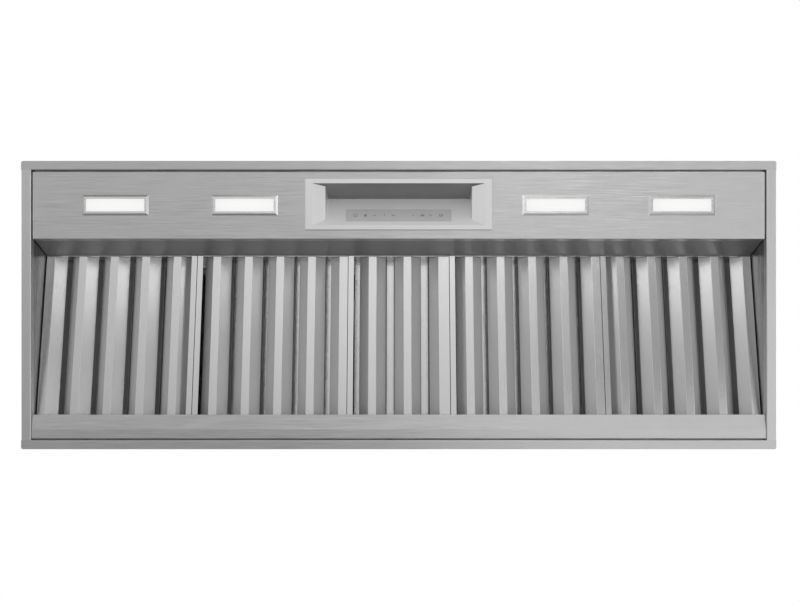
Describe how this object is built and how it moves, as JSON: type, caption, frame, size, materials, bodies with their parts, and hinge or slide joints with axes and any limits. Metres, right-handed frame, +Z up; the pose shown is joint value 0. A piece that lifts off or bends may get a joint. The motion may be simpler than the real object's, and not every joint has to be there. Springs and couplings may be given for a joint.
{
  "type": "range hood insert",
  "caption": "Wide stainless liner for a hood over a range, with sloping baffle filters, a lit front panel, a control pocket, a blower and a round duct collar.",
  "frame": {"origin": "centre of the flange's lower face, the lowest plane of the insert", "axes": "+Z up, -Y towards the cook, +X to the right of someone standing in front"},
  "size_m": [1.48, 0.565, 0.3576],
  "materials": {
    "stainless": "brushed stainless sheet",
    "filter_steel": "satin stainless sheet",
    "galvanised": "plain galvanised sheet",
    "bezel_steel": "satin stainless",
    "lens": "frosted diffuser, softly lit",
    "led": "white circuit board",
    "touch": "smooth grey touch strip",
    "black_plastic": "moulded",
    "driver": "moulded",
    "motor": "satin paint",
    "shaft": "ground bar",
    "magnet": "nickel plate",
    "screws": "zinc plate"
  },
  "bodies": {
    "shell": {"front_rail": "stainless", "rear_rail": "stainless", "left_rail": "stainless", "right_rail": "stainless", "fascia_panel": "stainless", "front_liner_wall": "stainless", "drip_tray": "stainless", "left_side_panel": "stainless", "right_side_panel": "stainless", "rear_panel": "stainless", "front_panel": "stainless", "top_panel": "stainless", "filter_stop_rail": "stainless", "hinge_ears": "galvanised", "blower_scroll": "galvanised", "motor_mount": "galvanised", "duct_collar": "galvanised", "junction_box": "galvanised", "light_1_bezel": "bezel_steel", "light_1_lens": "lens", "light_1_lamp_box": "galvanised", "light_2_bezel": "bezel_steel", "light_2_lens": "lens", "light_2_lamp_box": "galvanised", "light_3_bezel": "bezel_steel", "light_3_lens": "lens", "light_3_lamp_box": "galvanised", "light_4_bezel": "bezel_steel", "light_4_lens": "lens", "light_4_lamp_box": "galvanised", "filter_hinge_rod": "shaft", "magnet_catches": "magnet", "led_boards": "led", "control_pocket": "bezel_steel", "touch_strip": "touch", "control_module": "black_plastic", "led_driver": "driver", "blower_motor": "motor", "damper_pins": "shaft", "cable_gland": "black_plastic", "panel_screws": "screws"},
    "filter_1": {"filter_1_frame": "filter_steel", "filter_1_lower_slats": "filter_steel", "filter_1_upper_slats": "filter_steel"},
    "filter_2": {"filter_2_frame": "filter_steel", "filter_2_lower_slats": "filter_steel", "filter_2_upper_slats": "filter_steel"},
    "filter_3": {"filter_3_frame": "filter_steel", "filter_3_lower_slats": "filter_steel", "filter_3_upper_slats": "filter_steel"},
    "filter_4": {"filter_4_frame": "filter_steel", "filter_4_lower_slats": "filter_steel", "filter_4_upper_slats": "filter_steel"},
    "filter_5": {"filter_5_frame": "filter_steel", "filter_5_lower_slats": "filter_steel", "filter_5_upper_slats": "filter_steel"},
    "wheel": {"blower_wheel": "galvanised", "wheel_shaft": "shaft"},
    "front_flap": {"damper_flap_front": "galvanised"},
    "rear_flap": {"damper_flap_rear": "galvanised"}
  },
  "joints": [
    {"name": "filter_1_hinge", "type": "hinge", "parent": "shell", "child": "filter_1", "pos_m": [0, 0.234, 0.02692], "axis": [1, 0, 0], "range_deg": [0, 40]},
    {"name": "filter_2_hinge", "type": "hinge", "parent": "shell", "child": "filter_2", "pos_m": [0, 0.234, 0.02692], "axis": [1, 0, 0], "range_deg": [0, 40]},
    {"name": "filter_3_hinge", "type": "hinge", "parent": "shell", "child": "filter_3", "pos_m": [0, 0.234, 0.02692], "axis": [1, 0, 0], "range_deg": [0, 40]},
    {"name": "filter_4_hinge", "type": "hinge", "parent": "shell", "child": "filter_4", "pos_m": [0, 0.234, 0.02692], "axis": [1, 0, 0], "range_deg": [0, 40]},
    {"name": "filter_5_hinge", "type": "hinge", "parent": "shell", "child": "filter_5", "pos_m": [0, 0.234, 0.02692], "axis": [1, 0, 0], "range_deg": [0, 40]},
    {"name": "wheel_spin", "type": "hinge", "parent": "shell", "child": "wheel", "pos_m": [0, 0.0078, 0.20616], "axis": [1, 0, 0], "continuous": true},
    {"name": "front_flap_hinge", "type": "hinge", "parent": "shell", "child": "front_flap", "pos_m": [0, 0.07501, 0.33461], "axis": [-1, 0, 0], "range_deg": [0, 80]},
    {"name": "rear_flap_hinge", "type": "hinge", "parent": "shell", "child": "rear_flap", "pos_m": [0, 0.08501, 0.33461], "axis": [1, 0, 0], "range_deg": [0, 80]}
  ]
}
